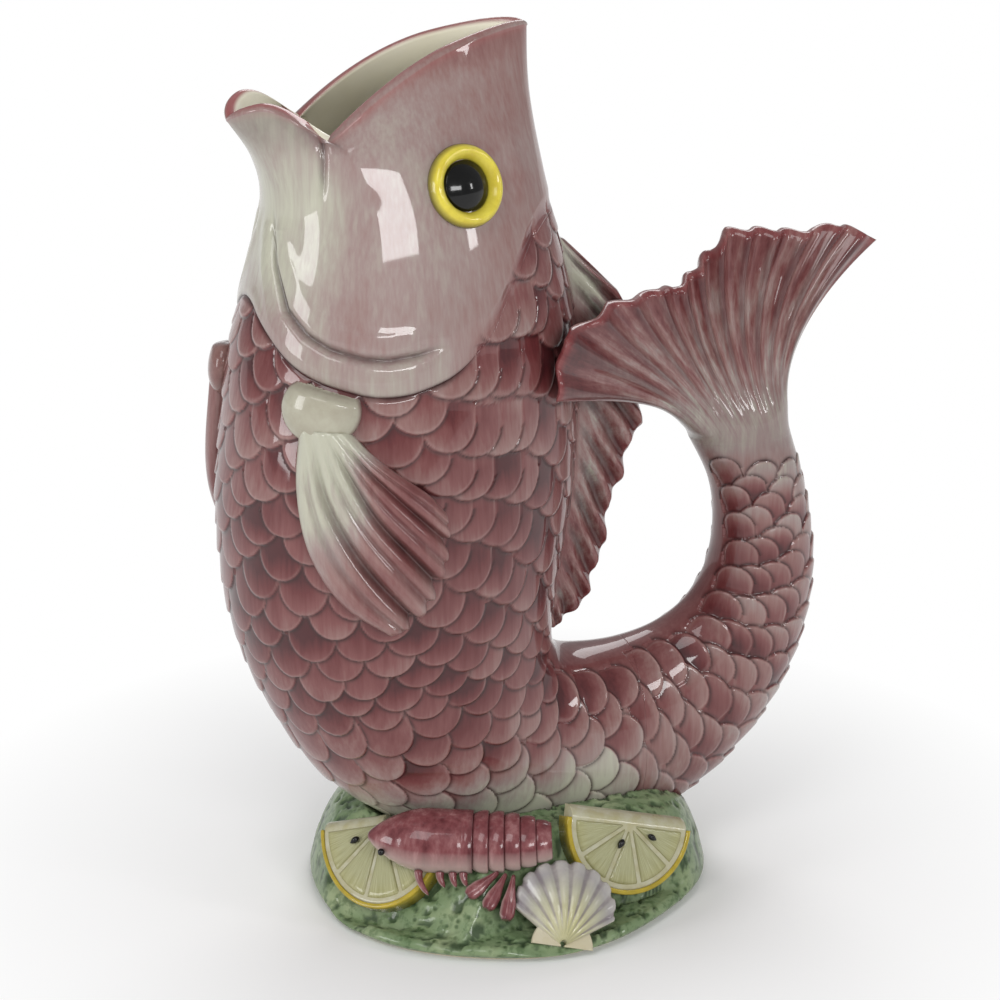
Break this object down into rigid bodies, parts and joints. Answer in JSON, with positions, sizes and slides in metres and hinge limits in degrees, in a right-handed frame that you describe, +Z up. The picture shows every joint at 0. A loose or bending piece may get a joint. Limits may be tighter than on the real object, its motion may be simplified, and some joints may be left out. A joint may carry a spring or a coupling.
{
  "type": "gurgle jug",
  "caption": "Glazed ceramic pouring jug shaped as an upright fish: open mouth spout, hollow curled tail as handle, on a round base with lemon slices, a shrimp and a scallop in relief.",
  "frame": {"origin": "middle of the flat foot, on the surface the jug stands on", "axes": "+Z up; the belly and the lower jaw face -X, the handle is on the +X side, and the fish's left side, which carries the relief on the base, faces -Y"},
  "size_m": [0.251, 0.1533, 0.3183],
  "materials": {
    "head_glaze": "gloss",
    "body_glaze": "gloss",
    "fin_glaze": "gloss",
    "fin_root_glaze": "gloss",
    "eye_yellow": "gloss",
    "black_glaze": "gloss",
    "moss_glaze": "gloss",
    "bare_clay": "matte",
    "lemon_rind_glaze": "gloss",
    "lemon_pith_glaze": "gloss",
    "lemon_flesh_glaze": "gloss",
    "shrimp_glaze": "gloss",
    "scallop_glaze": "gloss"
  },
  "bodies": {
    "root": {"head_shell": "head_glaze", "body_shell": "body_glaze", "tail_handle": "body_glaze", "tail_fin": "fin_glaze", "back_fin": "fin_glaze", "left_side_fin": "fin_glaze", "right_side_fin": "fin_glaze", "left_fin_root": "fin_root_glaze", "right_fin_root": "fin_root_glaze", "left_eye_ring": "eye_yellow", "right_eye_ring": "eye_yellow", "left_pupil": "black_glaze", "right_pupil": "black_glaze", "base_mound": "moss_glaze", "foot": "bare_clay", "left_lemon_rind": "lemon_rind_glaze", "left_lemon_pith": "lemon_pith_glaze", "left_lemon_segments": "lemon_flesh_glaze", "right_lemon_rind": "lemon_rind_glaze", "right_lemon_pith": "lemon_pith_glaze", "right_lemon_segments": "lemon_flesh_glaze", "lemon_seeds": "black_glaze", "shrimp_carapace": "shrimp_glaze", "shrimp_abdomen": "shrimp_glaze", "shrimp_tail_fan": "shrimp_glaze", "shrimp_legs": "shrimp_glaze", "shrimp_eye": "black_glaze", "scallop_shell": "scallop_glaze"}
  },
  "joints": []
}
